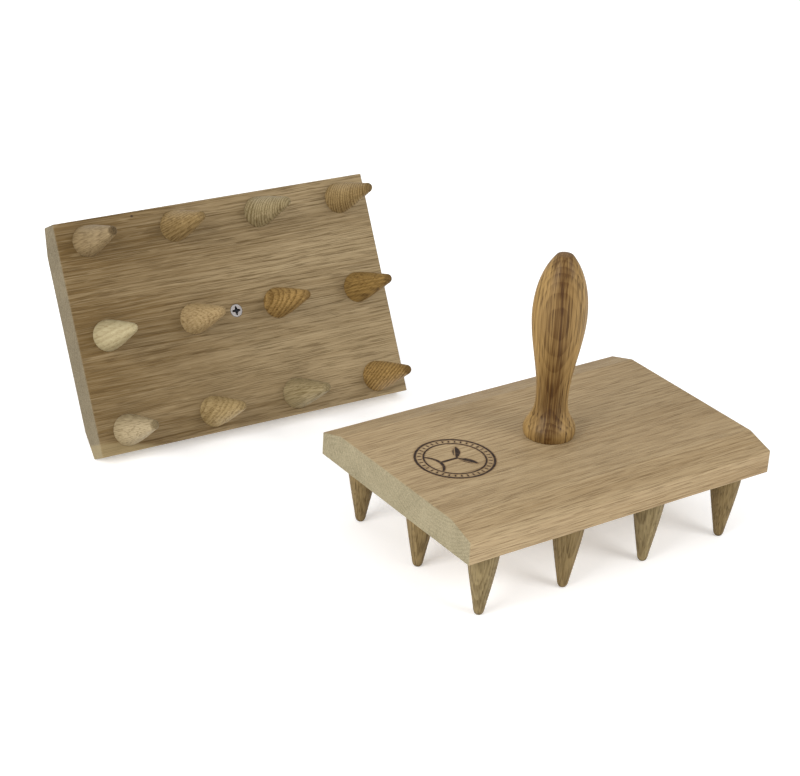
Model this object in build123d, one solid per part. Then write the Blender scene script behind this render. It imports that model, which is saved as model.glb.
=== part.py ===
"""A pair of twelve-peg seed-tray dibbers, one standing on its pegs and one leaning back on its handle.

Each dibber is a bevelled oak board with a turned handle screwed to its back and twelve turned
pegs glued into blind holes in its face. Everything is in millimetres.

A dibber is built in its own frame: X along the board's grain, Y across it, Z from the peg face
towards the handle, with the origin at the centre of the peg face.
"""
from build123d import *
from math import asin, cos, degrees, radians, sin
import os

# ---- board -------------------------------------------------------------------------------
BOARD_LENGTH = 210.0
BOARD_WIDTH = 140.0
BOARD_THICKNESS = 19.0
BEVEL_WIDTH = 18.0  # taken off each long edge, on the handle side
BEVEL_DROP = 5.5
EDGE_HEIGHT = BOARD_THICKNESS - BEVEL_DROP

# ---- pegs --------------------------------------------------------------------------------
PEG_COLUMNS = 4
PEG_ROWS = 3
PEG_PITCH = 57.0
PEG_LENGTH = 42.0
PEG_RADIUS = 9.5
PEG_TIP_RADIUS = 0.9  # the small flat that the peg stands on
PEG_NOSE = (3.3, -38.0)  # radius and height where the taper turns into the rounded tip
TAPER_CURVE = [(PEG_RADIUS, 0.0), (8.4, -12.0), (5.3, -27.0), PEG_NOSE]
TIP_CURVE = [PEG_NOSE, (3.0, -40.3), (2.3, -PEG_LENGTH), (PEG_TIP_RADIUS, -PEG_LENGTH)]
SPIGOT_RADIUS = 6.0
SPIGOT_LENGTH = 12.0
GLUE_GAP = 0.1  # round the spigot
HOLE_SPARE_DEPTH = 0.5  # past the spigot's end

# ---- handle: radius and height above the board, at the points of its curves ---------------
HANDLE_FOOT = (14.0, 0.0)
HANDLE_RIM = (13.3, 8.5)
HANDLE_NECK = (9.1, 23.0)
HANDLE_BULGE = (15.2, 74.0)
HANDLE_NOSE = (4.6, 108.4)
HANDLE_HEIGHT = 109.5
FOOT_CURVE = [HANDLE_FOOT, (15.1, 2.4), (15.2, 5.7), HANDLE_RIM]
COVE_CURVE = [HANDLE_RIM, (9.9, 13.5), (9.1, 17.0), HANDLE_NECK]
SWELL_CURVE = [HANDLE_NECK, (9.1, 40.0), (15.2, 57.0), HANDLE_BULGE]
NOSE_CURVE = [HANDLE_BULGE, (15.2, 82.3), (13.7, 97.4), HANDLE_NOSE]
HANDLE_CURVES = [FOOT_CURVE, COVE_CURVE, SWELL_CURVE, NOSE_CURVE]

# ---- countersunk wood screw --------------------------------------------------------------
SCREW_LENGTH = 50.0
SCREW_HEAD_RADIUS = 4.0
SCREW_SHANK_RADIUS = 2.1
SCREW_CORE_RADIUS = 1.4
SCREW_POINT_LENGTH = 5.0
THREAD_PITCH = 2.0
THREAD_START = 22.0  # where the plain shank ends
THREAD_VALLEY = (0.35, 0.65)  # where the core shows, as shares of the pitch
RECESS_WIDTH = 1.0
RECESS_SPAN = 4.6
RECESS_DEPTH = 2.2
CLEARANCE_RADIUS = 2.3
COUNTERSINK_RADIUS = 4.2
PILOT_RADIUS = SCREW_CORE_RADIUS
PILOT_SPARE_DEPTH = 2.0
PILOT_DEPTH = SCREW_LENGTH - BOARD_THICKNESS + PILOT_SPARE_DEPTH

# ---- where the leaning dibber lies, seen from the standing one ----------------------------
LEANING_OFFSET = (-77.5, 211.0)
LEANING_TURN = -3.1  # degrees about the vertical
LEAN_LIMITS = (45.0, 75.0)  # degrees from the floor that the resting lean is sought between
LEAN_HALVINGS = 30
NOSE_STEPS = 400


def revolve_profile(lines):
    """The solid of revolution about Z of the closed profile that lines in the XZ plane make."""
    edges = [edge for line in lines for edge in line.edges()]
    return revolve(make_face(edges), Axis.Z)


def peg_places():
    """The peg centres, column by column within each row, from the near row to the far one."""
    first_x = -PEG_PITCH * (PEG_COLUMNS - 1) / 2
    first_y = -PEG_PITCH * (PEG_ROWS - 1) / 2
    return [
        (first_x + column * PEG_PITCH, first_y + row * PEG_PITCH)
        for row in range(PEG_ROWS)
        for column in range(PEG_COLUMNS)
    ]


def make_board():
    """The oak board, with its two bevels, blind peg holes and countersunk clearance hole."""
    half_width = BOARD_WIDTH / 2
    outline = Polyline(
        (0, -half_width, 0),
        (0, half_width, 0),
        (0, half_width, EDGE_HEIGHT),
        (0, half_width - BEVEL_WIDTH, BOARD_THICKNESS),
        (0, -half_width + BEVEL_WIDTH, BOARD_THICKNESS),
        (0, -half_width, EDGE_HEIGHT),
        close=True,
    )
    board = extrude(make_face(outline), amount=BOARD_LENGTH / 2, dir=(1, 0, 0), both=True)
    hole_depth = SPIGOT_LENGTH + HOLE_SPARE_DEPTH
    for x, y in peg_places():
        hole = Cylinder(SPIGOT_RADIUS + GLUE_GAP, hole_depth)
        board -= Pos(x, y, hole_depth / 2) * hole
    board -= Pos(0, 0, BOARD_THICKNESS / 2) * Cylinder(CLEARANCE_RADIUS, BOARD_THICKNESS)
    sink_depth = COUNTERSINK_RADIUS - CLEARANCE_RADIUS
    sink = Cone(COUNTERSINK_RADIUS, CLEARANCE_RADIUS, sink_depth)
    return board - Pos(0, 0, sink_depth / 2) * sink


def make_peg():
    """One turned peg: a tapered, slightly full-bodied cone with a blunt tip, on a round spigot."""
    curves = [Bezier(*[(r, 0, z) for r, z in curve]) for curve in (TAPER_CURVE, TIP_CURVE)]
    axis_and_spigot = Polyline(
        (PEG_TIP_RADIUS, 0, -PEG_LENGTH),
        (0, 0, -PEG_LENGTH),
        (0, 0, SPIGOT_LENGTH),
        (SPIGOT_RADIUS, 0, SPIGOT_LENGTH),
        (SPIGOT_RADIUS, 0, 0),
        (PEG_RADIUS, 0, 0),
    )
    return revolve_profile([*curves, axis_and_spigot])


def make_handle():
    """The turned handle, standing on the board's back, with the pilot hole for its screw."""
    curves = [Bezier(*[(r, 0, z) for r, z in curve]) for curve in HANDLE_CURVES]
    nose_radius, nose_height = HANDLE_NOSE
    rise = HANDLE_HEIGHT - nose_height
    crown_radius = (nose_radius**2 + rise**2) / (2 * rise)
    half_way = asin(nose_radius / crown_radius) / 2
    crown = ThreePointArc(
        (nose_radius, 0, nose_height),
        (crown_radius * sin(half_way), 0, HANDLE_HEIGHT - crown_radius * (1 - cos(half_way))),
        (0, 0, HANDLE_HEIGHT),
    )
    axis_and_pilot_hole = Polyline(
        (0, 0, HANDLE_HEIGHT),
        (0, 0, PILOT_DEPTH),
        (PILOT_RADIUS, 0, PILOT_DEPTH),
        (PILOT_RADIUS, 0, 0),
        (HANDLE_FOOT[0], 0, 0),
    )
    handle = revolve_profile([*curves, crown, axis_and_pilot_hole])
    return Pos(0, 0, BOARD_THICKNESS) * handle


def make_screw():
    """The countersunk screw, head flush with the peg face, with ring-shaped thread crests."""
    head_depth = SCREW_HEAD_RADIUS - SCREW_SHANK_RADIUS
    thread_end = SCREW_LENGTH - SCREW_POINT_LENGTH
    points = [
        (0, 0),
        (SCREW_HEAD_RADIUS, 0),
        (SCREW_SHANK_RADIUS, head_depth),
        (SCREW_SHANK_RADIUS, THREAD_START),
    ]
    valley_start, valley_end = THREAD_VALLEY
    height = THREAD_START
    while height + THREAD_PITCH <= thread_end:
        points.append((SCREW_CORE_RADIUS, height + THREAD_PITCH * valley_start))
        points.append((SCREW_CORE_RADIUS, height + THREAD_PITCH * valley_end))
        points.append((SCREW_SHANK_RADIUS, height + THREAD_PITCH))
        height += THREAD_PITCH
    points.append((SCREW_CORE_RADIUS, height + THREAD_PITCH * valley_start))
    points.append((0, SCREW_LENGTH))
    screw = revolve_profile([Polyline(*[(r, 0, z) for r, z in points], close=True)])
    slot = Box(RECESS_SPAN, RECESS_WIDTH, RECESS_DEPTH)
    recess = slot + Rot(0, 0, 90) * slot
    return screw - Pos(0, 0, RECESS_DEPTH / 2) * recess


def bezier_point(curve, t):
    """A cubic curve's radius and height at the parameter t."""
    weights = ((1 - t) ** 3, 3 * (1 - t) ** 2 * t, 3 * (1 - t) * t**2, t**3)
    return tuple(sum(w * point[i] for w, point in zip(weights, curve)) for i in (0, 1))


def resting_lean():
    """How steeply the board stands when its lower bevel corner and the handle's nose both touch
    the floor: the angle at which the two reach equally far down, found by halving."""
    nose = [bezier_point(NOSE_CURVE, step / NOSE_STEPS) for step in range(NOSE_STEPS + 1)]
    low, high = (radians(limit) for limit in LEAN_LIMITS)
    for _ in range(LEAN_HALVINGS):
        lean = (low + high) / 2
        corner = BOARD_WIDTH / 2 * sin(lean) + EDGE_HEIGHT * cos(lean)
        handle = max(r * sin(lean) + (BOARD_THICKNESS + z) * cos(lean) for r, z in nose)
        if handle > corner:
            low = lean
        else:
            high = lean
    return degrees(low)


def make_dibber(name):
    """Every piece of one dibber, by node name."""
    pieces = {
        f"{name}_board": make_board(),
        f"{name}_handle": make_handle(),
        f"{name}_screw": make_screw(),
    }
    peg = make_peg()
    for number, (x, y) in enumerate(peg_places(), start=1):
        pieces[f"{name}_peg_{number:02d}"] = Pos(x, y, 0) * peg
    return pieces


def place_pair():
    """Both dibbers where they stand, with the origin under the middle of the pair."""
    lean = resting_lean()
    print(f"the leaning board stands {lean:.2f} degrees from the floor")
    depth = BOARD_WIDTH / 2 * sin(radians(lean)) + EDGE_HEIGHT * cos(radians(lean))
    leaning_x, leaning_y = LEANING_OFFSET
    standing_place = Pos(0, 0, PEG_LENGTH)
    leaning_place = Pos(leaning_x, leaning_y, depth) * Rot(0, 0, LEANING_TURN) * Rot(180 + lean, 0, 0)
    pieces = {name: standing_place * piece for name, piece in make_dibber("standing").items()}
    pieces |= {name: leaning_place * piece for name, piece in make_dibber("leaning").items()}
    box = Compound(children=[copy_of(piece) for piece in pieces.values()]).bounding_box()
    to_origin = Pos(-box.center().X, -box.center().Y, -box.min.Z)
    return {name: to_origin * piece for name, piece in pieces.items()}


def copy_of(piece):
    """The same shape as a new object, so that a compound doesn't take the piece itself."""
    return Pos(0, 0, 0) * piece


os.makedirs("parts", exist_ok=True)
for node, piece in place_pair().items():
    export_step(piece, f"parts/{node}.step")
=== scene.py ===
"""Looks for a pair of seed-tray dibbers: oak boards, turned handles and pegs, and their screws.

Every piece is first worked out in its own dibber's frame, in metres: X along the board's grain,
Y across it, Z from the peg face towards the handle. tool_place() then gives where that frame is.
"""
from math import asin, cos, pi, radians, sin

import bpy
import numpy as np
from mathutils import Euler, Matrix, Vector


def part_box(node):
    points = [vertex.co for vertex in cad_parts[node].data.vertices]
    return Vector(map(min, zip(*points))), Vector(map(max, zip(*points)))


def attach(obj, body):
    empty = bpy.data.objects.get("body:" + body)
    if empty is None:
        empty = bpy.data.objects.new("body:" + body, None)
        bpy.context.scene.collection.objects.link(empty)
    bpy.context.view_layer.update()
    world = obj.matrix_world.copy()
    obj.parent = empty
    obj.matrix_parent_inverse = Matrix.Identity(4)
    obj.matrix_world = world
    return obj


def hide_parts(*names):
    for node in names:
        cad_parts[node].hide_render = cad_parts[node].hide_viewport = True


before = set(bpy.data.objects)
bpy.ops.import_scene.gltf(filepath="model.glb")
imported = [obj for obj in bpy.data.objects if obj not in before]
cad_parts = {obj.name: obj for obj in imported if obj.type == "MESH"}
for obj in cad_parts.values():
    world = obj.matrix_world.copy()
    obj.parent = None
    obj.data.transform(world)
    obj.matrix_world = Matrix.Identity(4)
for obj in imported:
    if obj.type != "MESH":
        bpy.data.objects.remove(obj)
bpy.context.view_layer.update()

bl_info = {
    "name": "Seed tray dibbers",
    "version": (1, 0, 0),
    "blender": (4, 5, 0),
    "location": "3D View > Sidebar > Dibbers",
    "description": "Builds the boards, handles, pegs and screws of a pair of seed-tray dibbers",
    "category": "Object",
}

MM = 0.001
DIBBERS = ("standing", "leaning")
GRID_PITCH = 57 * MM
COLUMNS, ROWS = 4, 3
PEG_COUNT = COLUMNS * ROWS

# The board's section, and the outlines of the turned pieces as cubic curves of (radius, height).
BOARD_HALF = (105 * MM, 70 * MM)
BOARD_DEPTH = 19 * MM
EDGE_HEIGHT = 13.5 * MM
BEVEL_WIDTH = 18 * MM
LATTICE = 1.5 * MM  # between the lines of the mesh on the board's faces
EASING_STEPS = 5  # along each rounded edge
WINDOW_RINGS = 5  # between a hole and the square window round it
HANDLE_HEIGHT = 109.5
HANDLE_CURVES = (
    ((14.0, 0.0), (15.1, 2.4), (15.2, 5.7), (13.3, 8.5)),
    ((13.3, 8.5), (9.9, 13.5), (9.1, 17.0), (9.1, 23.0)),
    ((9.1, 23.0), (9.1, 40.0), (15.2, 57.0), (15.2, 74.0)),
    ((15.2, 74.0), (15.2, 82.3), (13.7, 97.4), (4.6, 108.4)),
)
PEG_CURVES = (
    ((9.5, 0.0), (8.4, -12.0), (5.3, -27.0), (3.3, -38.0)),
    ((3.3, -38.0), (3.0, -40.3), (2.3, -42.0), (0.9, -42.0)),
)
PEG_LENGTH = 42.0
SPIGOT = (6.0, 12.0)  # radius and length
PEG_HOLE = (6.1 * MM, 12.5 * MM)  # radius and depth
PILOT_HOLE = (1.4, 33.0)  # radius and depth
SCREW_HOLE = (4.2 * MM, 2.3 * MM)  # radius of the countersink and of the clearance hole
SCREW_HEAD, SCREW_SHANK, SCREW_CORE, SCREW_LENGTH = 4.0, 2.1, 1.4, 50.0
THREAD_START, THREAD_PITCH, THREAD_END = 22.0, 2.0, 45.0
HANDLE_SIDES, PEG_SIDES, SCREW_SIDES = 96, 64, 72
SHARP_ANGLE = radians(40)  # between two faces, past which their edge stays crisp

# Where each board was cut, as the place of the tree's pith from its peg face, with its pore colour,
# the pale and dark colours of its end grain, and the strengths that the Oak group takes. The last
# entry is the change of tone from one end of the board to the other: partly the wood's own tone and
# partly painted light and shade, darker towards the leaning board's left end and paler towards the
# standing board's left end.
BOARD_TIMBER = {
    "standing": {
        "pith": (0.35, 0.035, -0.062),
        "pore": (0.155, 0.098, 0.045),
        "end_grain": ((0.335, 0.285, 0.180), (0.165, 0.140, 0.078)),
        "tone_and_shade_drift": (-0.13, -0.02),
        "strengths": {
            "Ring_Width": 0.0021, "Rings": 0.15, "Streaks": 0.34, "Bands": 0.26, "Pores": 0.72, "Rays": 0.25,
        },
    },
    "leaning": {
        "pith": (0.9, -0.04, 0.055),
        "pore": (0.088, 0.053, 0.020),
        "end_grain": ((0.215, 0.175, 0.109), (0.100, 0.079, 0.046)),
        "tone_and_shade_drift": (0.42, -0.17),
        "strengths": {
            "Ring_Width": 0.0024, "Rings": 0.16, "Streaks": 0.36, "Bands": 0.28, "Pores": 0.74, "Rays": 0.25,
        },
    },
}

# The handles: how far from the pith they were cut, and for each its rings' turn and its place along
# the log. Lengths along their grain are shortened by a factor, which draws their streaks out.
HANDLE_PITH = 0.031
# The standing handle's turn brings its dark heartwood stripe, with its painted shade, round to face the
# camera.
HANDLE_CUT = {"standing": (radians(-128), 0.4), "leaning": (radians(40), 1.3)}
STREAK_SHORTENING = 0.45

# Pale and dark colours of the oak that each kind of peg was turned from, and its pore colour.
OAK_STOCK = {
    "cream": ((0.42, 0.355, 0.21), (0.29, 0.235, 0.125), (0.24, 0.18, 0.085)),
    "pale": ((0.37, 0.295, 0.175), (0.20, 0.148, 0.075), (0.13, 0.09, 0.04)),
    "beige": ((0.46, 0.34, 0.178), (0.25, 0.168, 0.073), (0.14, 0.085, 0.032)),
    "buff": ((0.305, 0.225, 0.118), (0.13, 0.085, 0.037), (0.08, 0.05, 0.02)),
    "grey_tan": ((0.35, 0.28, 0.155), (0.17, 0.125, 0.055), (0.10, 0.068, 0.025)),
    "tan": ((0.41, 0.305, 0.148), (0.20, 0.134, 0.052), (0.11, 0.060, 0.020)),
    "ochre": ((0.345, 0.243, 0.108), (0.155, 0.096, 0.033), (0.09, 0.05, 0.016)),
    "golden": ((0.365, 0.232, 0.081), (0.150, 0.083, 0.022), (0.070, 0.034, 0.008)),
    "brown": ((0.32, 0.200, 0.062), (0.13, 0.072, 0.018), (0.060, 0.028, 0.007)),
    # olive and umber are darker stocks that only the standing dibber's pegs take: partly their own colour and
    # partly painted shade, for the shade the standing board casts on its pegs.
    "olive": ((0.270, 0.205, 0.099), (0.122, 0.084, 0.034), (0.070, 0.045, 0.017)),
    "umber": ((0.262, 0.187, 0.082), (0.118, 0.077, 0.028), (0.065, 0.040, 0.013)),
}
# Stock, ring width in mm, the turn of the rings about the peg, how strongly they show, how far the
# grain slopes across the peg, and how dark its tip is, from 0 to 1. Turns and slopes are in degrees.
PEG_STOCK = (
    ("buff", 1.1, 20, 0.20, 4, 1.0),
    ("ochre", 1.6, 80, 0.35, -6, 0.5),
    ("grey_tan", 1.9, 235, 0.75, 36, 0.3),
    ("ochre", 1.7, 205, 0.70, 34, 0.7),
    ("cream", 3.2, 250, 0.45, 0, 0.05),
    ("beige", 1.2, 160, 0.25, 5, 0.4),
    ("golden", 2.2, 200, 0.52, 8, 0.6),
    ("brown", 1.5, 120, 0.45, -4, 0.8),
    ("pale", 1.1, 60, 0.25, 3, 1.0),
    ("tan", 2.0, 215, 0.38, 8, 0.5),
    ("grey_tan", 1.4, 140, 0.35, -7, 0.4),
    ("golden", 1.7, 235, 0.65, 16, 0.9),
    ("olive", 1.5, 30, 0.35, 2, 0.5),
    ("olive", 2.3, 200, 0.40, -3, 0.4),
    ("umber", 1.3, 90, 0.25, 4, 0.6),
    ("umber", 1.8, 250, 0.45, -5, 0.5),
)
# Which stock each dibber's pegs take, from peg 1 to peg 12. The standing dibber's pegs take darker stocks
# than the leaning one's: partly their own colour and partly painted shade for their place under the board.
PEG_ORDER = {"standing": (13, 16, 14, 15, 16, 8, 13, 12, 15, 7, 14, 16), "leaning": tuple(range(1, 13))}

# How deep the grain of the wood is, and how strongly it shines.
BARE_FINISH = (0.16 * MM, 0.16)
OILED_FINISH = (0.10 * MM, 0.18)

# Lamps as name, place, width and watts. They all face the middle of the pair, a little above the floor.
LAMP_AIM = (0, 0, 0.06)
LAMPS = (
    ("key", (0.75, -1.50, 1.1), 0.9, 14.5),
    ("side", (-1.50, -0.35, 0.85), 1.0, 19.5),
    ("back", (-0.3, 1.5, 1.0), 0.9, 5.0),
)
CAMERA_PLACE = (-0.6836, -0.9755, 0.6336)
CAMERA_TURN = (63.632, -3.133, -34.537)  # degrees
CAMERA_LENS = 100.41


# ---- shapes ------------------------------------------------------------------------------


def tool_place(name):
    """A dibber's frame in the row: its turn as a 3 x 3 array, and its origin.

    Equal pegs have equal boxes, so the steps between the boxes' middles along the peg grid are
    the frame's X and Y. The origin brings the board's lowest corner to the CAD board's."""
    middle = [np.mean(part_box(f"{name}_peg_{n:02d}"), axis=0) for n in (1, COLUMNS, 1 + 2 * COLUMNS)]
    across = (middle[1] - middle[0]) / (GRID_PITCH * (COLUMNS - 1))
    along = (middle[2] - middle[0]) / (GRID_PITCH * (ROWS - 1))
    turn = np.column_stack([across, along, np.cross(across, along)])
    half_x, half_y = BOARD_HALF
    section = [(half_y, 0), (half_y, EDGE_HEIGHT), (half_y - BEVEL_WIDTH, BOARD_DEPTH)]
    corners = np.array([(i * half_x, j * y, z) for i in (-1, 1) for j in (-1, 1) for y, z in section])
    origin = np.array(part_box(f"{name}_board")[0]) - (corners @ turn.T).min(axis=0)
    return turn, origin


def peg_centre(number):
    """The middle of a peg's base in its dibber's frame, from its number, which counts from 1."""
    column, row = (number - 1) % COLUMNS, (number - 1) // COLUMNS
    return np.array([column - (COLUMNS - 1) / 2, row - (ROWS - 1) / 2, 0]) * GRID_PITCH


def curve_points(curves, steps):
    """Points of joined cubic curves: each is the sum of its four corners, weighted by the cubic
    Bernstein terms of t."""
    t = np.linspace(0, 1, steps, endpoint=False)[:, None]
    parts = []
    for a, b, c, d in (np.array(curve) for curve in curves):
        parts.append((1 - t) ** 3 * a + 3 * (1 - t) ** 2 * t * b + 3 * (1 - t) * t**2 * c + t**3 * d)
    return np.vstack([*parts, [curves[-1][-1]]])


def grid_quads(rows, columns, wrap):
    """The quads of a grid of rows x columns points, counted row by row. wrap joins the last
    column to the first."""
    across = columns if wrap else columns - 1
    i, j = np.meshgrid(np.arange(rows - 1), np.arange(across), indexing="ij")
    k = (j + 1) % columns
    quads = np.stack([i * columns + j, i * columns + k, (i + 1) * columns + k, (i + 1) * columns + j], -1)
    return quads.reshape(-1, 4)


def capped(rings, first, last):
    """Rings of points, as an array of rings x sides x 3, joined into a tube that a pole point
    closes at each end."""
    count, sides = rings.shape[:2]
    points = np.vstack([rings.reshape(-1, 3), [first], [last]])
    here = np.arange(sides)
    after = (here + 1) % sides
    last_ring = (count - 1) * sides
    start = np.stack([np.full(sides, count * sides), after, here], -1)
    end = np.stack([np.full(sides, count * sides + 1), last_ring + here, last_ring + after], -1)
    return points, grid_quads(count, sides, True), np.vstack([start, end])


def turned(outline, sides, wobble):
    """A turned solid: the outline's (radius, height) carried round Z, where x and y are the
    radius times the angle's cosine and sine. The outline's ends are poles on the axis.
    wobble(angle, height) gives what is added to the radius."""
    outline = np.asarray(outline, float)
    angle = np.arange(sides) * 2 * pi / sides
    ring = outline[1:-1]
    height = np.repeat(ring[:, 1:], sides, axis=1)
    radius = ring[:, :1] + wobble(angle[None, :], height)
    rings = np.stack([radius * np.cos(angle), radius * np.sin(angle), height], -1)
    return capped(rings, [0, 0, outline[0, 1]], [0, 0, outline[-1, 1]])


def stitch(patches):
    """Patches of (points, quads) as one surface, with points in the same place made one."""
    points, quads, count = [], [], 0
    for patch_points, patch_quads in patches:
        points.append(patch_points)
        quads.append(patch_quads + count)
        count += len(patch_points)
    points = np.vstack(points)
    _, first, same = np.unique(np.round(points / 1e-8).astype(np.int64), axis=0,
                               return_index=True, return_inverse=True)
    return points[first], same.reshape(-1)[np.vstack(quads)]


def face_lines(half, inset, pitch):
    """Lattice lines across a flat face: even steps about the middle, then three close to each
    edge, so that the shading of the rounded edge stays there."""
    steps = int((half - 3 * inset) / pitch)
    even = np.arange(-steps, steps + 1) * pitch
    close = half - inset * np.array([2.2, 1.5, 1.0])
    return np.concatenate([-close[::-1], even, close])


def flat_face(x_lines, y_lines, height, holes):
    """A flat lattice with square windows, and in each window quads that run from its edge to a
    round hole. holes lists (column, row, reach in cells, radius) about a lattice point. Returns
    the patches and each hole's rim."""
    x, y = np.meshgrid(x_lines, y_lines, indexing="ij")
    points = np.stack([x, y, np.full_like(x, height)], -1)
    cells = np.ones((len(x_lines) - 1, len(y_lines) - 1), bool)
    patches, rims = [], []
    for column, row, reach, radius in holes:
        cells[column - reach : column + reach, row - reach : row + reach] = False
        steps = np.arange(-reach, reach)
        far = np.full_like(steps, reach)
        i = column + np.concatenate([steps, far, -steps, -far])
        j = row + np.concatenate([-far, steps, far, -steps])
        edge = points[i, j]
        spoke = edge - points[column, row]
        spoke = spoke / np.linalg.norm(spoke, axis=1, keepdims=True)
        rim = points[column, row] + radius * spoke
        share = np.linspace(0, 1, WINDOW_RINGS)[:, None, None]
        ring = edge * (1 - share) + rim * share
        patches.append((ring.reshape(-1, 3), grid_quads(WINDOW_RINGS, len(i), True)))
        rims.append(rim)
    quads = grid_quads(len(x_lines), len(y_lines), False)[:, ::-1]
    patches.append((points.reshape(-1, 3), quads[cells.reshape(-1)]))
    return patches, rims


def tube_patch(loops):
    """Quads between loops of equally many points."""
    loops = np.array(loops)
    return loops.reshape(-1, 3), grid_quads(len(loops), loops.shape[1], True)


def hole_loops(rim, profile):
    """Copies of a hole's rim at the profile's (radius, height): the rim's spokes, rescaled."""
    middle = rim.mean(axis=0)
    spoke = (rim - middle) / np.linalg.norm(rim - middle, axis=1, keepdims=True)
    return [middle * (1, 1, 0) + spoke * radius + (0, 0, height) for radius, height in profile]


def board_surface(easing):
    """The board as one closed surface. Loops run round it from the peg face to the back, each a
    rectangle inset by what the eased edges and the bevels take off; lattices close both faces,
    with a blind hole for each peg and the screw's countersunk hole right through."""
    half_x, half_y = BOARD_HALF
    x_lines = face_lines(half_x, easing, LATTICE)
    y_lines = face_lines(half_y, easing, LATTICE)
    back_lines = y_lines * (half_y - BEVEL_WIDTH) / y_lines[-1]
    arc = np.linspace(0, pi / 2, EASING_STEPS)

    def loop(inset_x, inset_y, height):
        """The rectangle's outline at the lattice lines, with its corners rounded."""
        a, b = half_x - inset_x, half_y - inset_y
        x, y = x_lines * a / x_lines[-1], y_lines * b / y_lines[-1]
        outline = np.vstack(
            [
                np.stack([x[:-1], np.full(len(x) - 1, -b)], -1),
                np.stack([np.full(len(y) - 1, a), y[:-1]], -1),
                np.stack([x[:0:-1], np.full(len(x) - 1, b)], -1),
                np.stack([np.full(len(y) - 1, -a), y[:0:-1]], -1),
            ]
        )
        radius = max(easing - inset_x, 0)
        centre = np.array([a - radius, b - radius])
        past = np.maximum(np.abs(outline) - centre, 0)
        reach = np.linalg.norm(past, axis=1)
        cut = (past.min(axis=1) > 0) & (reach > radius)
        scale = np.where(cut, radius / np.maximum(reach, 1e-12), 1)[:, None]
        outline = np.sign(outline) * (np.minimum(np.abs(outline), centre) + past * scale)
        return np.column_stack([outline, np.full(len(outline), height)])

    rise = BOARD_DEPTH - EDGE_HEIGHT
    slope = BEVEL_WIDTH / rise
    edge_shares = (0.12, 0.5, 0.9, 0.97)
    bevel_shares = np.concatenate([[0.004, 0.03, 0.1], np.linspace(0.25, 0.85, 6)])
    loops = [loop(easing * (1 - sin(t)), easing * (1 - sin(t)), easing * (1 - cos(t))) for t in arc]
    loops += [loop(0, 0, EDGE_HEIGHT * share) for share in edge_shares]
    loops += [loop(0, slope * rise * share, EDGE_HEIGHT + rise * share) for share in bevel_shares]
    for t in arc:
        height = BOARD_DEPTH - easing * (1 - sin(t))
        loops.append(loop(easing * (1 - cos(t)), slope * (height - EDGE_HEIGHT), height))

    middle_x, middle_y = len(x_lines) // 2, len(y_lines) // 2
    pitch_cells = round(GRID_PITCH / LATTICE)
    peg_reach, screw_reach = 6, 4
    peg_holes = []
    for number in range(1, PEG_COUNT + 1):
        x, y, _ = peg_centre(number) / GRID_PITCH * pitch_cells
        peg_holes.append((middle_x + round(x), middle_y + round(y), peg_reach, PEG_HOLE[0]))
    sink, bore = SCREW_HOLE
    screw_hole = (middle_x, middle_y, screw_reach)
    front, rims = flat_face(x_lines, y_lines, 0, [*peg_holes, (*screw_hole, sink)])
    back_x = x_lines * (half_x - easing) / x_lines[-1]
    back, back_rims = flat_face(back_x, back_lines, BOARD_DEPTH, [(*screw_hole, bore)])
    patches = [tube_patch(loops)]
    patches += [(points, quads[:, ::-1]) for points, quads in back]
    patches += front
    radius, depth = PEG_HOLE
    closing_radius = 1e-5
    for rim in rims[:-1]:
        wall = [(radius, 0), (radius, depth / 2), (radius, depth)]
        profile = [*wall, (radius / 2, depth), (closing_radius, depth)]
        patches.append(tube_patch(hole_loops(rim, profile)))
    sunk = [(sink, 0), (bore, sink - bore), (bore, BOARD_DEPTH / 2)]
    through = hole_loops(rims[-1], sunk) + hole_loops(back_rims[0], [(bore, BOARD_DEPTH)])
    patches.append(tube_patch(through))
    return stitch(patches)


def handle_surface():
    """The turned handle in millimetres, from its pilot hole round its foot to its domed crown."""
    outline = curve_points(HANDLE_CURVES, steps=40)
    nose_radius, nose_height = outline[-1]
    rise = HANDLE_HEIGHT - nose_height
    crown_radius = (nose_radius**2 + rise**2) / (2 * rise)
    crown_steps = 12
    t = np.linspace(asin(nose_radius / crown_radius), 0, crown_steps)[1:, None]
    crown = np.hstack([crown_radius * np.sin(t), HANDLE_HEIGHT - crown_radius * (1 - np.cos(t))])
    hole, depth = PILOT_HOLE
    inside = [(0, depth), (hole, depth), (hole, depth / 2), (hole, 0), (outline[0, 0] - 1, 0)]
    foot_fade, nose_fade = 6, 8
    out_of_round, gouge_mark = 0.06, 0.02

    def wobble(angle, height):
        """A little out of round, and faint rings left by the gouge, both fading at the ends: a
        sine of twice the angle that turns with the height, plus a sine of the height."""
        body = np.clip(height / foot_fade, 0, 1) * np.clip((HANDLE_HEIGHT - height) / nose_fade, 0, 1)
        return body * (out_of_round * np.sin(2 * angle + height / 30) + gouge_mark * np.sin(height * 2.1))

    return turned([*inside, *outline, *crown], HANDLE_SIDES, wobble)


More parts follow.
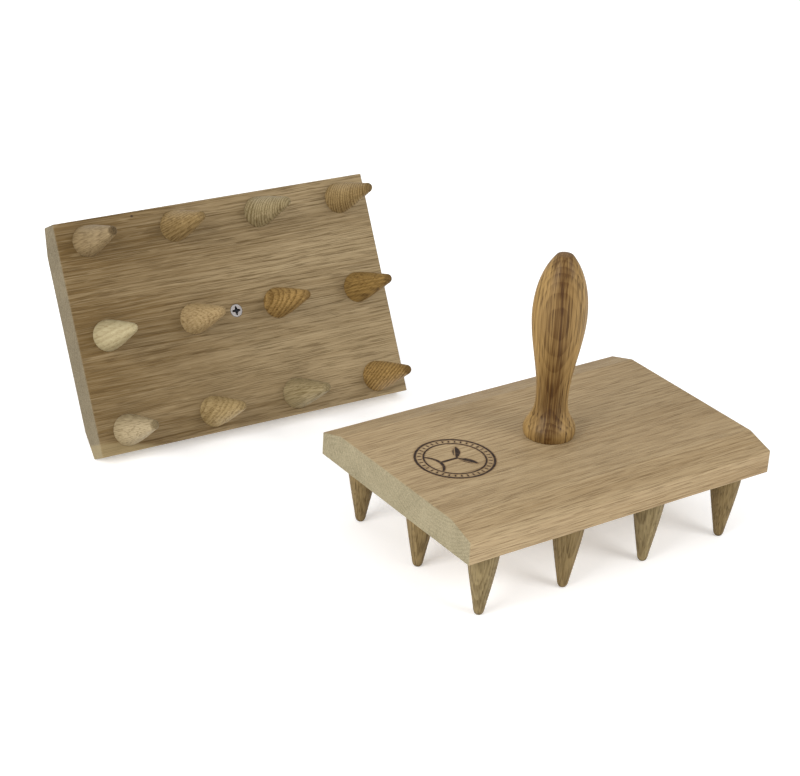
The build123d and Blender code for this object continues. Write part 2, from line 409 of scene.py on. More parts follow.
def peg_surface(stock):
    """One peg in millimetres, base at height 0: its spigot, then its taper down to the tip. Pegs
    of different stock, counted from 0, are uneven in different places."""
    outline = curve_points(PEG_CURVES, steps=26)
    radius, length = SPIGOT
    chamfer = 0.5
    spigot_end = [(0, length), (radius - chamfer, length), (radius, length - chamfer)]
    spigot = [*spigot_end, (radius, length / 2), (radius, 0)]
    rim = [(9.2, 0), (9.42, -0.06), (9.5, -0.2)]
    taper = outline[outline[:, 1] < -0.4]
    phase = stock * 1.7
    fade = 4

    def wobble(angle, height):
        """What the turner took off unevenly, fading at both ends: a steady cut, sines of twice
        and three times the angle, and a fine sine of the height for the gouge's rings."""
        body = np.clip(-height / fade, 0, 1) * np.clip((PEG_LENGTH + height) / fade, 0, 1)
        uneven = 0.05 * np.sin(2 * angle + phase) + 0.03 * np.sin(3 * angle + phase * 2 + height / 9)
        return -body * (0.08 + uneven + 0.025 * np.sin(height * 2.4 + phase))

    return turned([*spigot, *rim, *taper, (0, -PEG_LENGTH)][::-1], PEG_SIDES, wobble)


def cross_depth(x, y):
    """How deep the cross recess is at a point of the screw's head, in millimetres: a star of
    four arms whose half width falls outwards, with steep sides and sloping ends. The depth falls
    evenly with the distance from the middle."""
    half_width, narrowing, side_width = 1.15, 0.30, 0.14
    reach, end_width = 2.75, 0.5
    middle_depth, fall = 1.9, 0.35
    from_middle = np.hypot(x, y)
    long_side, short_side = np.maximum(np.abs(x), np.abs(y)), np.minimum(np.abs(x), np.abs(y))
    arm = np.clip((half_width - narrowing * long_side - short_side) / side_width, 0, 1)
    return arm * np.clip((reach - from_middle) / end_width, 0, 1) * (middle_depth - fall * from_middle)


def screw_surface():
    """The screw in millimetres, head at height 0: a countersunk head with its cross recess, a
    plain shank, and a thread whose crest climbs one pitch in each turn, down to the point."""
    sides = SCREW_SIDES
    angle = np.arange(sides) * 2 * pi / sides
    head_edge, head_rim, head_depth = 0.15, 0.3, 2.1
    row_step = THREAD_PITCH / 8
    face = np.linspace(0, SCREW_HEAD - head_edge, 40)
    sink = np.array(
        [(SCREW_HEAD, 0.12), (SCREW_HEAD, head_rim), (SCREW_SHANK, head_depth), (SCREW_SHANK, THREAD_START)]
    )
    rows = np.arange(THREAD_START + 0.2, THREAD_END, row_step)
    point = np.linspace(THREAD_END, SCREW_LENGTH, 8)
    point_radius = (SCREW_LENGTH - point) / (SCREW_LENGTH - THREAD_END) * SCREW_CORE
    radius = np.concatenate([face, sink[:, 0], np.full(len(rows), SCREW_CORE), point_radius])
    height = np.concatenate([np.zeros(len(face)), sink[:, 1], rows, point])
    radius, height = np.repeat(radius[:, None], sides, 1), np.repeat(height[:, None], sides, 1)
    climb = height / THREAD_PITCH - angle[None, :] / (2 * pi)
    crest_sharpness, run_in, run_out = 5, 2, 4
    crest = np.clip(1 - crest_sharpness * np.abs(climb - np.round(climb)), 0, 1)
    grown = np.clip((height - THREAD_START) / run_in, 0, 1)
    grown = grown * np.clip((SCREW_LENGTH - 1 - height) / run_out, 0, 1)
    radius = radius + (SCREW_SHANK - SCREW_CORE) * crest * grown
    x, y = radius * np.cos(angle), radius * np.sin(angle)
    on_face = np.arange(len(radius))[:, None] < len(face)
    height = height + np.where(on_face, cross_depth(x, y), 0)
    rings = np.stack([x, y, height], -1)[1:-1]
    return capped(rings, [0, 0, cross_depth(0, 0)], [0, 0, SCREW_LENGTH])


def turned_fields(points, ring_turn, pith_distance, along, slope=0.0):
    """Where a turned piece's points lay in the log: the pith off to one side at the ring turn's
    angle, and the piece's axis along the grain, or turned from it towards the pith by the slope."""
    x = points[:, 0] * cos(ring_turn) + points[:, 1] * sin(ring_turn)
    y = -points[:, 0] * sin(ring_turn) + points[:, 1] * cos(ring_turn)
    z = points[:, 2]
    grain, outwards = z * cos(slope) - x * sin(slope), z * sin(slope) + x * cos(slope)
    return {"timber": np.column_stack([grain + along, y, outwards + pith_distance])}


def pith_distance(stock):
    """How far from the middle of its log each peg stock was cut, counting stocks from 0."""
    return 0.028 + 0.004 * stock


def add_piece(node, points, quads, triangles=(), fields=None):
    """A smooth mesh object for a CAD node, from points in its dibber's frame. fields maps an
    attribute's name to its values, three to a point for a vector or one for a number."""
    name = node.split("_")[0]
    turn, origin = tool_place(name)
    triangles = np.asarray(triangles, np.int64).reshape(-1, 3)
    mesh = bpy.data.meshes.new(node)
    mesh.vertices.add(len(points))
    mesh.vertices.foreach_set("co", (points @ turn.T + origin).astype(np.float32).ravel())
    corners = np.concatenate([quads.ravel(), triangles.ravel()]).astype(np.int32)
    sizes = np.concatenate([np.full(len(quads), 4), np.full(len(triangles), 3)]).astype(np.int32)
    mesh.loops.add(len(corners))
    mesh.loops.foreach_set("vertex_index", corners)
    mesh.polygons.add(len(sizes))
    mesh.polygons.foreach_set("loop_start", np.concatenate([[0], np.cumsum(sizes)[:-1]]).astype(np.int32))
    mesh.polygons.foreach_set("use_smooth", np.ones(len(sizes), bool))
    for field, values in (fields or {}).items():
        values = np.asarray(values, np.float32)
        kind, key = ("FLOAT_VECTOR", "vector") if values.ndim == 2 else ("FLOAT", "value")
        mesh.attributes.new(field, kind, "POINT").data.foreach_set(key, values.ravel())
    mesh.update(calc_edges=True)
    mesh.validate()
    mesh.set_sharp_from_angle(angle=SHARP_ANGLE)
    piece = bpy.data.objects.new("visual_" + node, mesh)
    bpy.context.collection.objects.link(piece)
    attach(piece, name + "_dibber")
    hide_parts(node)
    return piece


# ---- shader building ---------------------------------------------------------------------


def feed(tree, socket, value):
    """Links a socket, or sets it to a constant."""
    if isinstance(value, bpy.types.NodeSocket):
        tree.links.new(value, socket)
    else:
        socket.default_value = value


def parts_of(tree, vector):
    """A vector's three numbers."""
    node = tree.nodes.new("ShaderNodeSeparateXYZ")
    feed(tree, node.inputs[0], vector)
    return node.outputs


def between_0_and_1(tree, value):
    """A number kept from 0 to 1."""
    node = tree.nodes.new("ShaderNodeClamp")
    feed(tree, node.inputs[0], value)
    return node.outputs[0]


def calc(tree, operation, *values):
    """A Math node's result."""
    node = tree.nodes.new("ShaderNodeMath")
    node.operation = operation
    for socket, value in zip(node.inputs, values):
        feed(tree, socket, value)
    return node.outputs[0]


def calc_vector(tree, operation, *values):
    """A Vector Math node's result, a number for LENGTH and a vector for the others."""
    node = tree.nodes.new("ShaderNodeVectorMath")
    node.operation = operation
    for socket, value in zip(node.inputs, values):
        feed(tree, socket, value)
    return node.outputs["Value" if operation == "LENGTH" else "Vector"]


def ramp(tree, value, low, high, start=0.0, end=1.0):
    """value from low..high to start..end, smoothly."""
    node = tree.nodes.new("ShaderNodeMapRange")
    node.interpolation_type = "SMOOTHSTEP"
    for socket, number in zip(node.inputs, (value, low, high, start, end)):
        feed(tree, socket, number)
    return node.outputs[0]


def noise(tree, vector, stretch, detail=2.0, roughness=0.5, output="Fac"):
    """Noise whose features are 1 / stretch metres long along each axis: one number as Fac, or
    three as Color."""
    node = tree.nodes.new("ShaderNodeTexNoise")
    feed(tree, node.inputs["Vector"], calc_vector(tree, "MULTIPLY", vector, stretch))
    node.inputs["Scale"].default_value = 1.0
    node.inputs["Detail"].default_value = detail
    node.inputs["Roughness"].default_value = roughness
    return node.outputs[output]


def joined(tree, *values):
    """Three numbers as one vector."""
    node = tree.nodes.new("ShaderNodeCombineXYZ")
    for socket, value in zip(node.inputs, values):
        feed(tree, socket, value)
    return node.outputs[0]


def blend_colour(tree, share, a, b):
    """Two colours mixed by a share, 0 for the first and 1 for the second."""
    node = tree.nodes.new("ShaderNodeMix")
    node.data_type = "RGBA"
    feed(tree, node.inputs["Factor"], share)
    feed(tree, node.inputs["A"], a)
    feed(tree, node.inputs["B"], b)
    return node.outputs["Result"]


def rgba(colour):
    """A colour with full alpha, as colour sockets want it."""
    return (*colour, 1.0)


def field(tree, name, kind="Vector"):
    """A mesh attribute, as the piece's shape function wrote it."""
    node = tree.nodes.new("ShaderNodeAttribute")
    node.attribute_name = name
    return node.outputs[kind]


def new_group(name, inputs, outputs):
    """An empty node group with named sockets: (name, kind, default) in, (name, kind) out."""
    group = bpy.data.node_groups.new(name, "ShaderNodeTree")
    for label, kind, default in inputs:
        socket = group.interface.new_socket(label, in_out="INPUT", socket_type="NodeSocket" + kind)
        if default is not None:
            socket.default_value = default
    for label, kind in outputs:
        group.interface.new_socket(label, in_out="OUTPUT", socket_type="NodeSocket" + kind)
    return group, group.nodes.new("NodeGroupInput").outputs, group.nodes.new("NodeGroupOutput").inputs


def oak_group():
    """Solid oak. A point's distance from the pith gives its ring; pores, rays and fibres are
    noise stretched along the grain and laid out by ring and by angle round the pith."""
    tree, given, result = new_group(
        "Oak",
        [
            ("Timber", "Vector", None),
            ("End Grain", "Float", 0.0),
            ("Pale", "Color", rgba((0.45, 0.33, 0.2))),
            ("Dark", "Color", rgba((0.25, 0.16, 0.08))),
            ("Pore", "Color", rgba((0.12, 0.07, 0.03))),
            ("End Pale", "Color", rgba((0.5, 0.45, 0.3))),
            ("End Dark", "Color", rgba((0.25, 0.2, 0.12))),
            ("Pith Distance", "Float", 0.07),
            ("Layers", "Float", 1.0),
            ("Ring Width", "Float", 0.002),
            ("Rings", "Float", 0.4),
            ("Streaks", "Float", 0.5),
            ("Bands", "Float", 0.5),
            ("Pores", "Float", 0.6),
            ("Rays", "Float", 0.2),
            ("Tone", "Float", 0.0),
        ],
        [("Color", "Color"), ("Roughness", "Float"), ("Height", "Float")],
    )
    timber = given["Timber"]
    wander = noise(tree, timber, (4.0, 22.0, 22.0), 3.0, output="Color")
    centred = calc_vector(tree, "SUBTRACT", wander, (0.5, 0.5, 0.5))
    bent = calc_vector(tree, "ADD", timber, calc_vector(tree, "MULTIPLY", centred, (0.0, 0.006, 0.006)))
    along, y, z = parts_of(tree, bent)
    radius = calc(tree, "SQRT", calc(tree, "ADD", calc(tree, "MULTIPLY", y, y), calc(tree, "MULTIPLY", z, z)))
    arc = calc(tree, "MULTIPLY", calc(tree, "ARCTAN2", y, z), given["Pith Distance"])
    polar = joined(tree, along, radius, arc)
    layered = joined(tree, along, calc(tree, "MULTIPLY", radius, given["Layers"]), arc)

    uneven = calc(tree, "MULTIPLY", noise(tree, polar, (2.0, 160.0, 9.0), 1.0), 2.2)
    count = calc(tree, "ADD", calc(tree, "DIVIDE", radius, given["Ring Width"]), uneven)
    ring = calc(tree, "FRACT", count)
    spring, autumn = 0.12, 0.75  # where in a ring its early wood is fullest, and where it has ended
    rise = ramp(tree, ring, 0.0, spring)
    early = calc(tree, "MULTIPLY", rise, ramp(tree, ring, spring, autumn, 1.0, 0.0))

    fine = noise(tree, layered, (28.0, 1900.0, 1700.0), 3.0, 0.62)
    fibre = noise(tree, layered, (8.0, 760.0, 640.0), 3.0, 0.6)
    band = noise(tree, polar, (3.0, 70.0, 55.0), 2.0, 0.55)
    blotch = noise(tree, timber, (22.0, 45.0, 45.0), 2.0, 0.5)
    pore = ramp(tree, noise(tree, layered, (50.0, 1900.0, 1500.0), 1.0), 0.56, 0.70)
    pore = calc(tree, "MULTIPLY", pore, calc(tree, "ADD", 0.35, calc(tree, "MULTIPLY", early, 0.75)))
    dash = ramp(tree, noise(tree, layered, (52.0, 1900.0, 1600.0), 1.0), 0.56, 0.66)
    pore = calc(tree, "MAXIMUM", pore, calc(tree, "MULTIPLY", dash, 0.72))
    ray = ramp(tree, noise(tree, polar, (70.0, 45.0, 1700.0), 1.0), 0.62, 0.74)

    def weighted(value, middle, strength):
        """How far a value is from its middle, times a strength."""
        return calc(tree, "MULTIPLY", calc(tree, "SUBTRACT", value, middle), strength)

    # Each layer shifts the tone by how far it is from its own middle.
    tone = calc(tree, "ADD", 0.5, given["Tone"])
    for value, middle, strength in (
        (early, 0.35, given["Rings"]),
        (fibre, 0.5, calc(tree, "MULTIPLY", given["Streaks"], 1.5)),
        (fine, 0.5, calc(tree, "MULTIPLY", given["Streaks"], 3.0)),
        (band, 0.5, calc(tree, "MULTIPLY", given["Bands"], 2.6)),
        (blotch, 0.5, calc(tree, "MULTIPLY", given["Bands"], 0.8)),
    ):
        tone = calc(tree, "ADD", tone, weighted(value, middle, strength))

    long_face = blend_colour(tree, between_0_and_1(tree, tone), given["Pale"], given["Dark"])
    shown_rays = calc(tree, "MULTIPLY", ray, given["Rays"])
    long_face = blend_colour(tree, shown_rays, long_face, given["Pale"])
    shown_pores = calc(tree, "MULTIPLY", pore, given["Pores"])
    long_face = blend_colour(tree, shown_pores, long_face, given["Pore"])
    speckle = noise(tree, polar, (300.0, 1800.0, 1800.0), 2.0, 0.6)
    end_tone = calc(tree, "ADD", calc(tree, "MULTIPLY", early, 0.16), weighted(speckle, 0.34, 2.1))
    end_tone = calc(tree, "ADD", end_tone, weighted(blotch, 0.5, 0.8))
    end_tone = calc(tree, "SUBTRACT", end_tone, calc(tree, "MULTIPLY", ray, 0.25))
    end_face = blend_colour(tree, between_0_and_1(tree, end_tone), given["End Pale"], given["End Dark"])
    colour = blend_colour(tree, given["End Grain"], long_face, end_face)

    rough = calc(tree, "ADD", 0.50, calc(tree, "MULTIPLY", fine, 0.16))
    rough = calc(tree, "ADD", rough, calc(tree, "MULTIPLY", pore, 0.12))
    rough = calc(tree, "ADD", rough, calc(tree, "MULTIPLY", given["End Grain"], 0.15))
    feed(tree, result["Color"], colour)
    feed(tree, result["Roughness"], rough)
    hollow = calc(tree, "MULTIPLY", shown_pores, -0.8)
    height = calc(tree, "ADD", hollow, calc(tree, "MULTIPLY", fine, 0.5))
    end_hollow = calc(tree, "MULTIPLY", calc(tree, "MULTIPLY", speckle, given["End Grain"]), 0.8)
    feed(tree, result["Height"], calc(tree, "SUBTRACT", height, end_hollow))
    return tree


def spot_group():
    """A soft-edged ellipse at a place on the board's face: 1 inside and 0 outside."""
    tree, given, result = new_group(
        "Spot",
        [("Place", "Vector", None), ("Centre", "Vector", (0, 0, 0)), ("Size", "Vector", (1, 1, 1))],
        [("Mask", "Float")],
    )
    offset = calc_vector(tree, "SUBTRACT", given["Place"], given["Centre"])
    away = calc_vector(tree, "DIVIDE", offset, given["Size"])
    rough_edge = calc(tree, "MULTIPLY", noise(tree, given["Place"], (400.0, 700.0, 700.0), 2.0), 0.7)
    reach = calc(tree, "ADD", calc_vector(tree, "LENGTH", away), rough_edge)
    feed(tree, result["Mask"], ramp(tree, reach, 0.9, 1.5, 1.0, 0.0))
    return tree


def brand_group():
    """A seedling in a round ring, as burnt by a hot iron. Each stroke is a signed distance in
    millimetres; the nearest one gives the char, and a wider, fainter edge the scorch."""
    tree, given, result = new_group(
        "Burnt Seedling",
        [("Place", "Vector", None), ("Centre", "Vector", (0, 0, 0))],
        [("Char", "Float"), ("Scorch", "Float")],
    )
    offset = calc_vector(tree, "SUBTRACT", given["Place"], given["Centre"])
    flat = calc_vector(tree, "MULTIPLY", offset, (1000.0, 1000.0, 0.0))
    up, sideways, _ = parts_of(tree, flat)
    side = calc(tree, "ABSOLUTE", sideways)
    outer_ring, inner_ring, tick_ring = 22.0, 17.3, 19.6
    ticks = 36

    def ring_stroke(radius, half_width):
        """A circle about the mark's middle, drawn with a stroke."""
        gap = calc(tree, "ABSOLUTE", calc(tree, "SUBTRACT", calc_vector(tree, "LENGTH", flat), radius))
        return calc(tree, "SUBTRACT", gap, half_width)

    def disc(centre_up, centre_side, radius):
        """A disc on each side of the stem."""
        du = calc(tree, "SUBTRACT", up, centre_up)
        ds = calc(tree, "SUBTRACT", side, centre_side)
        square = calc(tree, "ADD", calc(tree, "MULTIPLY", du, du), calc(tree, "MULTIPLY", ds, ds))
        return calc(tree, "SUBTRACT", calc(tree, "SQRT", square), radius)

    def bar(low, high, half_width):
        """An upright bar along the stem."""
        middle, half = (low + high) / 2, (high - low) / 2
        lengthways = calc(tree, "SUBTRACT", calc(tree, "ABSOLUTE", calc(tree, "SUBTRACT", up, middle)), half)
        return calc(tree, "MAXIMUM", lengthways, calc(tree, "SUBTRACT", side, half_width))

    # Two discs overlap in each leaf, and a slanting vein is left unburnt along it.
    leaf = calc(tree, "MAXIMUM", disc(11.4, 1.4, 9.8), disc(-1.6, 9.8, 9.8))
    across_vein = calc(tree, "SUBTRACT", calc(tree, "MULTIPLY", up, 0.80), calc(tree, "MULTIPLY", side, 0.52))
    vein = calc(tree, "SUBTRACT", calc(tree, "ABSOLUTE", across_vein), 0.4)
    leaf = calc(tree, "MAXIMUM", leaf, calc(tree, "MULTIPLY", vein, -1.0))
    # The mound is what one disc has more than the next one below it, inside the inner ring.
    mound = calc(tree, "MAXIMUM", disc(-20.0, 0.0, 11.0), calc(tree, "SUBTRACT", 0.0, disc(-21.6, 0.0, 11.0)))
    inside = calc(tree, "SUBTRACT", calc_vector(tree, "LENGTH", flat), inner_ring)
    mound = calc(tree, "MAXIMUM", mound, inside)
    # Short ticks stand evenly round the space between the rings.
    turn = calc(tree, "MULTIPLY", calc(tree, "ARCTAN2", sideways, up), ticks / (2 * pi))
    from_tick = calc(tree, "ABSOLUTE", calc(tree, "SUBTRACT", calc(tree, "FRACT", turn), 0.5))
    beside_tick = calc(tree, "MULTIPLY", from_tick, 2 * pi * tick_ring / ticks)
    tick = calc(tree, "MAXIMUM", calc(tree, "SUBTRACT", beside_tick, 0.28), ring_stroke(tick_ring, 0.9))
    strokes = ring_stroke(outer_ring, 0.6)
    for stroke in (ring_stroke(inner_ring, 0.4), tick, leaf, mound, bar(-10.0, 2.0, 0.7)):
        strokes = calc(tree, "MINIMUM", strokes, stroke)
    grain = noise(tree, given["Place"], (500.0, 1100.0, 1.0), 2.0)
    ragged = calc(tree, "MULTIPLY", calc(tree, "SUBTRACT", grain, 0.5), 0.5)
    strokes = calc(tree, "ADD", strokes, ragged)
    patchy = ramp(tree, noise(tree, given["Place"], (260.0, 420.0, 1.0), 2.0), 0.2, 0.55, 0.72, 1.0)
    char = calc(tree, "MULTIPLY", ramp(tree, strokes, -0.15, 0.3, 1.0, 0.0), patchy)
    feed(tree, result["Char"], char)
    feed(tree, result["Scorch"], ramp(tree, strokes, 0.0, 1.3, 0.45, 0.0))
    return tree


def group_node(tree, name, **values):
    """A shared group placed in a material with its own values. Underscores stand for spaces."""
    node = tree.nodes.new("ShaderNodeGroup")
    node.node_tree = bpy.data.node_groups[name]
    for label, value in values.items():
        feed(tree, node.inputs[label.replace("_", " ")], value)
    return node.outputs


def new_material(name):
    """A material with only its output and a Principled shader."""
    material = bpy.data.materials.new(name)
    material.use_nodes = True
    return material, material.node_tree, material.node_tree.nodes["Principled BSDF"]


def finish_oak(tree, shader, colour, roughness, height, bump, specular):
    """Feeds the shader, with the height as a bump of that many metres, and sets how it shines."""
    feed(tree, shader.inputs["Base Color"], colour)
    feed(tree, shader.inputs["Roughness"], roughness)
    node = tree.nodes.new("ShaderNodeBump")
    node.inputs["Strength"].default_value = 1.0
    node.inputs["Distance"].default_value = bump
    feed(tree, node.inputs["Height"], height)
    feed(tree, shader.inputs["Normal"], node.outputs[0])
    shader.inputs["Specular IOR Level"].default_value = specular


def oak_values(tree, pale, dark, pore, end_pale, end_dark, **strengths):
    """The Oak group fed by a piece's own attributes."""
    return group_node(
        tree, "Oak", Timber=field(tree, "timber"), End_Grain=field(tree, "end_grain", "Fac"),
        Pale=rgba(pale), Dark=rgba(dark), Pore=rgba(pore), End_Pale=rgba(end_pale),
        End_Dark=rgba(end_dark), **strengths,
    )


def board_material(name, pale, dark, timber, branded):
    """A planed, unfinished board from its entry in BOARD_TIMBER. The branded one carries the burnt
    mark on its back; the other has a pin knot, and sapwood along one edge."""
    material, tree, shader = new_material(name)
    place = field(tree, "tool_place")
    along, across, up = parts_of(tree, place)
    # Tone along the board from end to end: partly the wood's own, partly painted light and shade.
    tone_and_shade_drift = ramp(tree, along, -0.12, 0.09, *timber["tone_and_shade_drift"])
    colours = (pale, dark, timber["pore"], *timber["end_grain"])
    oak = oak_values(tree, *colours, Tone=tone_and_shade_drift, **timber["strengths"])
    colour, height = oak["Color"], oak["Height"]
    if branded:
        mark = group_node(tree, "Burnt Seedling", Place=place, Centre=(-0.064, 0.001, BOARD_DEPTH))
        behind = ramp(tree, up, BOARD_DEPTH - 2 * MM, BOARD_DEPTH - MM)
        scorch = calc(tree, "MULTIPLY", mark["Scorch"], behind)
        char = calc(tree, "MULTIPLY", mark["Char"], behind)
        colour = blend_colour(tree, scorch, colour, rgba((0.16, 0.075, 0.025)))
        colour = blend_colour(tree, char, colour, rgba((0.022, 0.012, 0.008)))
        height = calc(tree, "SUBTRACT", height, calc(tree, "MULTIPLY", char, 1.6))
    else:
        knot_place, knot_size = (-0.0545, -0.0672, 0.0), (0.0011, 0.0008, 0.004)
        knot = group_node(tree, "Spot", Place=place, Centre=knot_place, Size=knot_size)
        knot_share = calc(tree, "MULTIPLY", knot["Mask"], 0.85)
        colour = blend_colour(tree, knot_share, colour, rgba((0.035, 0.02, 0.012)))
        edge_width = ramp(tree, along, -0.105, -0.055, 0.0085, -0.001)
        from_edge = calc(tree, "SUBTRACT", BOARD_HALF[1], across)
        sapwood = ramp(tree, calc(tree, "SUBTRACT", from_edge, edge_width), -0.0014, 0.0008, 0.5, 0.0)
        colour = blend_colour(tree, sapwood, colour, rgba((0.33, 0.26, 0.135)))
    finish_oak(tree, shader, colour, oak["Roughness"], height, *BARE_FINISH)
    return material


def peg_material(number, stock, ring_width, rings):
    """A bare turned peg, darker where its tip was parted off."""
    material, tree, shader = new_material(f"peg_oak_{number:02d}_{stock}")
    pale, dark, pore = OAK_STOCK[stock]
    tip_dark = tuple(0.35 * c for c in dark)
    oak = oak_values(
        tree, pale, dark, pore, dark, tip_dark,
        Pith_Distance=pith_distance(number - 1), Layers=0.6, Ring_Width=ring_width * MM, Rings=rings,
        Streaks=0.38, Bands=0.35, Pores=0.65, Rays=0.35,
    )
    finish_oak(tree, shader, oak["Color"], oak["Roughness"], oak["Height"], *BARE_FINISH)
    return material


def handle_material():
    """A handle turned from golden oak, darker down its middle, partly heartwood and partly painted shade, and
    oiled to a satin sheen.
    """
    material, tree, shader = new_material("handle_oak_oiled")
    _, from_heart, _ = parts_of(tree, field(tree, "timber"))
    # Darker where the heartwood plane meets the surface, which on the standing handle faces the camera, and
    # paler to the sides: partly heartwood and partly painted shade on the handle's middle, which the side
    # lamps leave unlit.
    heart_and_shade = ramp(tree, calc(tree, "ABSOLUTE", from_heart), 0.0015, 0.0105, 0.36, -0.24)
    pale, dark, pore = (0.365, 0.229, 0.080), (0.074, 0.031, 0.0042), (0.036, 0.012, 0.002)
    end_pale, end_dark = (0.22, 0.13, 0.055), (0.06, 0.03, 0.012)
    oak = oak_values(
        tree, pale, dark, pore, end_pale, end_dark, Pith_Distance=HANDLE_PITH, Layers=0.12,
        Ring_Width=0.0017, Rings=0.12, Streaks=0.42, Bands=0.32, Pores=0.80, Rays=0.12, Tone=heart_and_shade,
    )
    finish_oak(tree, shader, oak["Color"], oak["Roughness"], oak["Height"], *OILED_FINISH)
    shader.inputs["Coat Weight"].default_value = 0.10
    shader.inputs["Coat Roughness"].default_value = 0.28
    return material


def screw_material():
    """Bright zinc plate, darkened in the cross recess as painted shade, and lightly brushed round the head.
    """
    material, tree, shader = new_material("screw_zinc")
    place = field(tree, "tool_place")
    _, _, depth = parts_of(tree, place)
    # Painted shade: the deeper the cross recess, the nearer to black.
    deep = ramp(tree, depth, 0.2 * MM, 0.7 * MM)
    brushed = noise(tree, place, (3000.0, 3000.0, 600.0), 3.0, 0.6)
    plate = blend_colour(tree, brushed, rgba((0.22, 0.205, 0.195)), rgba((0.13, 0.123, 0.122)))
    colour = blend_colour(tree, deep, plate, rgba((0.03, 0.03, 0.034)))
    feed(tree, shader.inputs["Base Color"], colour)
    feed(tree, shader.inputs["Roughness"], ramp(tree, brushed, 0.2, 0.8, 0.34, 0.50))
    shader.inputs["Metallic"].default_value = 1.0
    return material


# ---- settings ----------------------------------------------------------------------------


class DibberSettings(bpy.types.PropertyGroup):
    """The sizes and colours that someone dressing the pair would change."""

    edge_easing: bpy.props.FloatProperty(
        name="Edge easing", description="Radius that the board's edges are rounded to",
        default=0.6 * MM, min=0.2 * MM, max=2 * MM, unit="LENGTH",
    )
    board_pale: bpy.props.FloatVectorProperty(
        name="Standing board, pale", description="Colour between the streaks",
        default=(0.448, 0.336, 0.194), subtype="COLOR",
    )
    board_dark: bpy.props.FloatVectorProperty(
        name="Standing board, dark", description="Colour of the streaks",
        default=(0.225, 0.146, 0.066), subtype="COLOR",
    )
    leaning_pale: bpy.props.FloatVectorProperty(
        name="Leaning board, pale", description="Colour between the streaks",
        default=(0.368, 0.279, 0.156), subtype="COLOR",
    )
    leaning_dark: bpy.props.FloatVectorProperty(
        name="Leaning board, dark", description="Colour of the streaks",
        default=(0.138, 0.085, 0.030), subtype="COLOR",
    )
    floor_colour: bpy.props.FloatVectorProperty(
        name="Floor", description="Colour of the floor", default=(0.9, 0.9, 0.9), subtype="COLOR",
    )
    light_strength: bpy.props.FloatProperty(
        name="Light", description="Strength of the studio light, 1 as set", default=1.0, min=0.0,
    )


def settings():
    """The scene's dibber settings."""
    return bpy.context.scene.dibber_settings


# ---- operators ---------------------------------------------------------------------------


class DIBBER_OT_boards(bpy.types.Operator):
    """Build both bevelled oak boards"""

    bl_idname = "dibber.boards"
    bl_label = "Boards"

    def execute(self, context):
        chosen = settings()
        timber = BOARD_TIMBER
        looks = {
            "standing": board_material(
                "board_oak_pale", chosen.board_pale, chosen.board_dark, timber["standing"], branded=True
            ),
            "leaning": board_material(
                "board_oak_brown", chosen.leaning_pale, chosen.leaning_dark, timber["leaning"], branded=False
            ),
        }
        points, quads = board_surface(chosen.edge_easing)
        easing_start = BOARD_HALF[0] - chosen.edge_easing
        end_grain = np.clip((np.abs(points[:, 0]) - easing_start) / chosen.edge_easing, 0, 1)
        for name in DIBBERS:
            from_pith = points + np.array(timber[name]["pith"])
            fields = {"timber": from_pith, "tool_place": points, "end_grain": end_grain}
            piece = add_piece(f"{name}_board", points, quads, fields=fields)
            piece.data.materials.append(looks[name])
        return {"FINISHED"}


class DIBBER_OT_handles(bpy.types.Operator):
    """Build both turned handles"""

    bl_idname = "dibber.handles"
    bl_label = "Handles"

    def execute(self, context):
        look = handle_material()
        points, quads, triangles = handle_surface()
        crown_start, crown_blend, foot = 108.3, 0.8, 0.01
        for name in DIBBERS:
            ring_turn, along = HANDLE_CUT[name]
            fields = turned_fields(points * MM, ring_turn, HANDLE_PITH, along)
            fields["timber"][:, 0] *= STREAK_SHORTENING
            flat_top = np.clip((points[:, 2] - crown_start) / crown_blend, 0, 1)
            fields["end_grain"] = np.maximum(flat_top, (points[:, 2] < foot) * 1.0)
            lifted = points * MM + (0, 0, BOARD_DEPTH)
            piece = add_piece(f"{name}_handle", lifted, quads, triangles, fields)
            piece.data.materials.append(look)
        return {"FINISHED"}


class DIBBER_OT_pegs(bpy.types.Operator):
    """Build every peg, each from its own piece of oak"""

    bl_idname = "dibber.pegs"
    bl_label = "Pegs"

    def execute(self, context):
        looks = [
            peg_material(number, stock, width, rings)
            for number, (stock, width, _, rings, _, _) in enumerate(PEG_STOCK, start=1)
        ]
        tip_start, tip_blend, spigot_end = -39.6, 1.8, SPIGOT[1] - 0.1
        log_step = 0.2
        for name in DIBBERS:
            for number in range(1, PEG_COUNT + 1):
                stock = PEG_ORDER[name][number - 1] - 1
                points, quads, triangles = peg_surface(stock)
                _, _, ring_turn, _, slope, tip_darkness = PEG_STOCK[stock]
                pith, along = pith_distance(stock), log_step * number
                fields = turned_fields(points * MM, radians(ring_turn), pith, along, radians(slope))
                tip = tip_darkness * np.clip((tip_start - points[:, 2]) / tip_blend, 0, 1)
                fields["end_grain"] = np.maximum(tip, (points[:, 2] > spigot_end) * 1.0)
                placed = points * MM + peg_centre(number)
                piece = add_piece(f"{name}_peg_{number:02d}", placed, quads, triangles, fields)
                piece.data.materials.append(looks[stock])
        return {"FINISHED"}


class DIBBER_OT_screws(bpy.types.Operator):
    """Build both countersunk screws"""

    bl_idname = "dibber.screws"
    bl_label = "Screws"

    def execute(self, context):
        look = screw_material()
        points, quads, triangles = screw_surface()
        for name in DIBBERS:
            placed = points * MM
            piece = add_piece(f"{name}_screw", placed, quads, triangles, {"tool_place": placed})
            piece.data.materials.append(look)
        return {"FINISHED"}


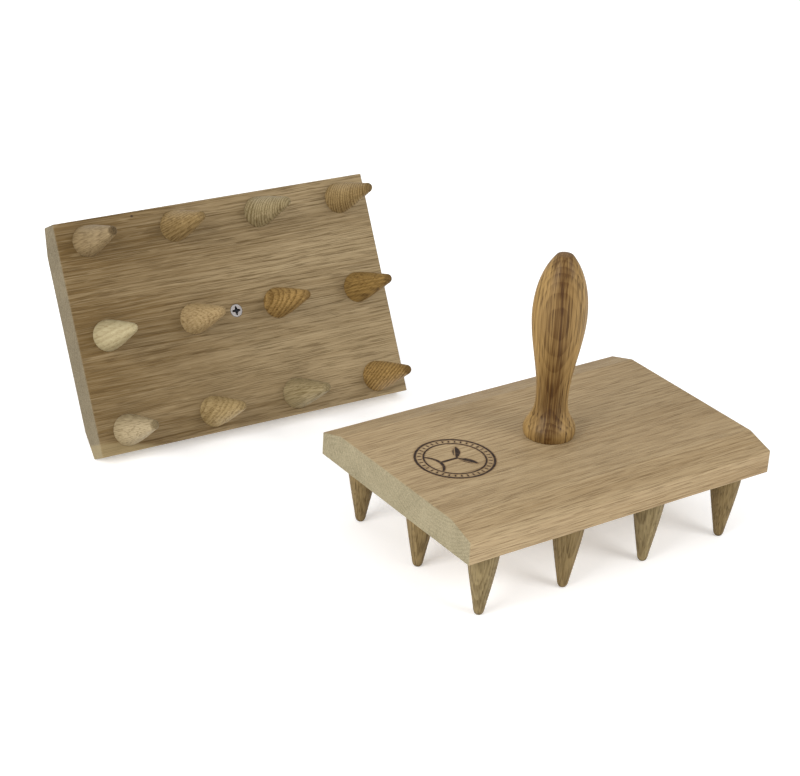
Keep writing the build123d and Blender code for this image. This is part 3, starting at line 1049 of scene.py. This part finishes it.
def add_area_light(name, place, size, watts):
    """A soft square lamp at a place, turned to face LAMP_AIM."""
    light = bpy.data.lights.new(name, "AREA")
    light.size = size
    light.energy = watts * settings().light_strength
    lamp = bpy.data.objects.new(name, light)
    lamp.location = place
    direction = np.array(LAMP_AIM) - np.array(place)
    yaw = np.arctan2(direction[1], direction[0]) - pi / 2
    pitch = np.arctan2(direction[2], np.hypot(direction[0], direction[1])) + pi / 2
    lamp.rotation_euler = Euler((pitch, 0, yaw))
    bpy.context.collection.objects.link(lamp)


class DIBBER_OT_stage(bpy.types.Operator):
    """Build the pale floor, the studio light and the camera"""

    bl_idname = "dibber.stage"
    bl_label = "Stage"

    def execute(self, context):
        chosen = settings()
        scene = context.scene
        reach, floor_glow, sky_strength = 4.0, 0.36, 0.66
        mesh = bpy.data.meshes.new("floor")
        corners = [(-reach, -reach, 0), (reach, -reach, 0), (reach, reach, 0), (-reach, reach, 0)]
        mesh.from_pydata(corners, [], [(0, 1, 2, 3)])
        floor = bpy.data.objects.new("floor", mesh)
        context.collection.objects.link(floor)
        material, _, shader = new_material("floor_paper")
        for label, value in (
            ("Base Color", rgba(chosen.floor_colour)),
            ("Roughness", 0.9),
            ("Specular IOR Level", 0.1),
            ("Emission Color", rgba(chosen.floor_colour)),
            ("Emission Strength", floor_glow * chosen.light_strength),
        ):
            shader.inputs[label].default_value = value
        mesh.materials.append(material)

        world = bpy.data.worlds.new("studio")
        world.use_nodes = True
        sky = world.node_tree.nodes["Background"]
        sky.inputs["Color"].default_value = (1.0, 1.0, 1.0, 1.0)
        sky.inputs["Strength"].default_value = sky_strength * chosen.light_strength
        scene.world = world
        for lamp in LAMPS:
            add_area_light(*lamp)

        camera = bpy.data.cameras.new("camera")
        camera.lens = CAMERA_LENS
        camera.sensor_width = 36.0
        viewer = bpy.data.objects.new("camera", camera)
        viewer.location = CAMERA_PLACE
        viewer.rotation_euler = Euler([radians(angle) for angle in CAMERA_TURN])
        context.collection.objects.link(viewer)
        scene.camera = viewer
        scene.view_settings.view_transform = "Standard"
        return {"FINISHED"}


class DIBBER_PT_panel(bpy.types.Panel):
    """Sidebar panel with a button for each group of pieces"""

    bl_idname = "DIBBER_PT_panel"
    bl_label = "Seed tray dibbers"
    bl_space_type = "VIEW_3D"
    bl_region_type = "UI"
    bl_category = "Dibbers"

    def draw(self, context):
        """Shows the settings, then the buttons."""
        for name in DibberSettings.__annotations__:
            self.layout.prop(context.scene.dibber_settings, name)
        for operator in OPERATORS:
            self.layout.operator(operator.bl_idname)


OPERATORS = (DIBBER_OT_stage, DIBBER_OT_boards, DIBBER_OT_handles, DIBBER_OT_pegs, DIBBER_OT_screws)
CLASSES = (DibberSettings, *OPERATORS, DIBBER_PT_panel)


def register():
    """Registers the classes, and the settings on the scene."""
    for cls in CLASSES:
        bpy.utils.register_class(cls)
    bpy.types.Scene.dibber_settings = bpy.props.PointerProperty(type=DibberSettings)


def unregister():
    """Undoes register()."""
    del bpy.types.Scene.dibber_settings
    for cls in reversed(CLASSES):
        bpy.utils.unregister_class(cls)


def main():
    """Builds the groups, the stage and every piece."""
    register()
    oak_group()
    spot_group()
    brand_group()
    bpy.ops.dibber.stage()
    bpy.ops.dibber.boards()
    bpy.ops.dibber.handles()
    bpy.ops.dibber.pegs()
    bpy.ops.dibber.screws()


if __name__ == "__main__":
    main()
